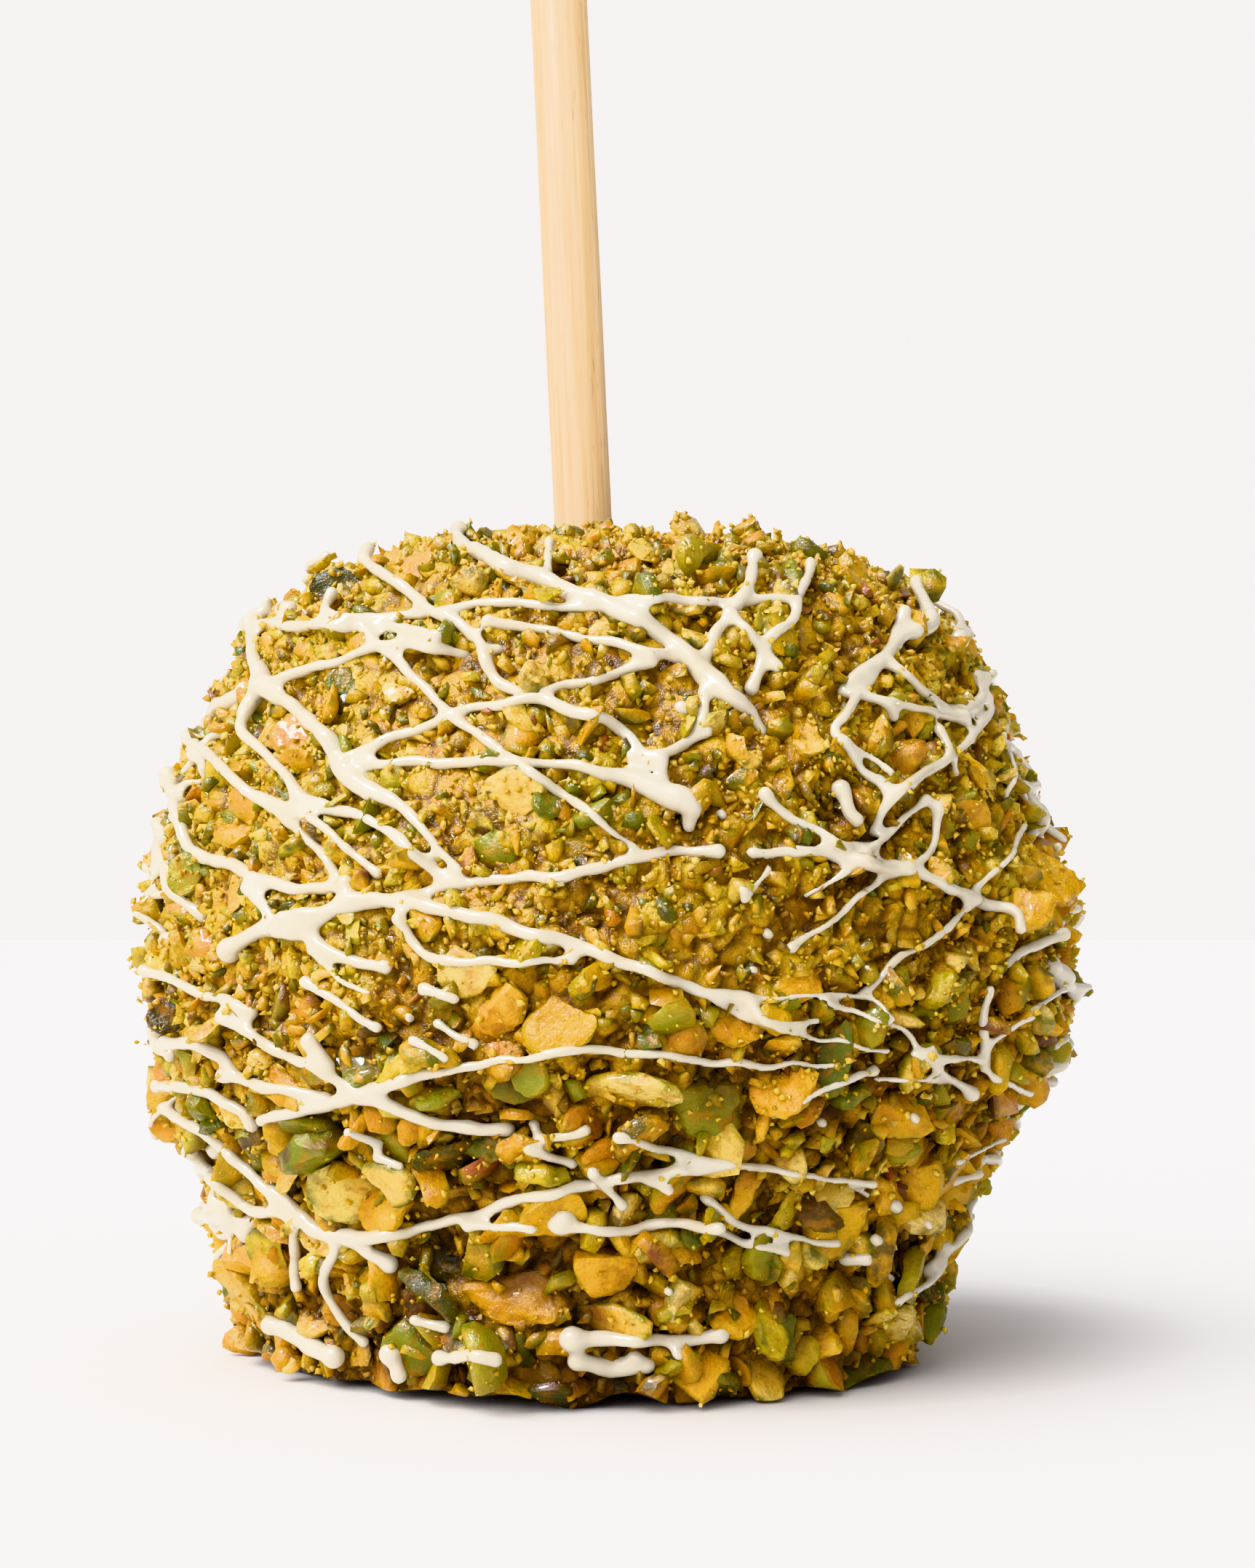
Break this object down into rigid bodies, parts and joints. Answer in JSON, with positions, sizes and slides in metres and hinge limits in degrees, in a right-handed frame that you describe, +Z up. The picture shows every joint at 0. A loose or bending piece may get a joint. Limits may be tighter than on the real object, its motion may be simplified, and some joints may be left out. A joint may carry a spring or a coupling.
{
  "type": "caramel apple",
  "caption": "Round apple dipped in caramel and rolled in chopped nuts, striped with thin strands of white chocolate, on a plain wooden stick.",
  "frame": {"origin": "on the flat foot that the apple stands on, under the middle of its belly", "axes": "+Z up along the apple and its stick, -Y towards the front"},
  "size_m": [0.0955, 0.0979, 0.17],
  "materials": {
    "nut_coat": "chopped nuts set in caramel, with satin white chocolate strands",
    "stick_wood": "bare sanded birch or bamboo"
  },
  "bodies": {
    "root": {"coated_apple": "nut_coat", "stick": "stick_wood"}
  },
  "joints": []
}
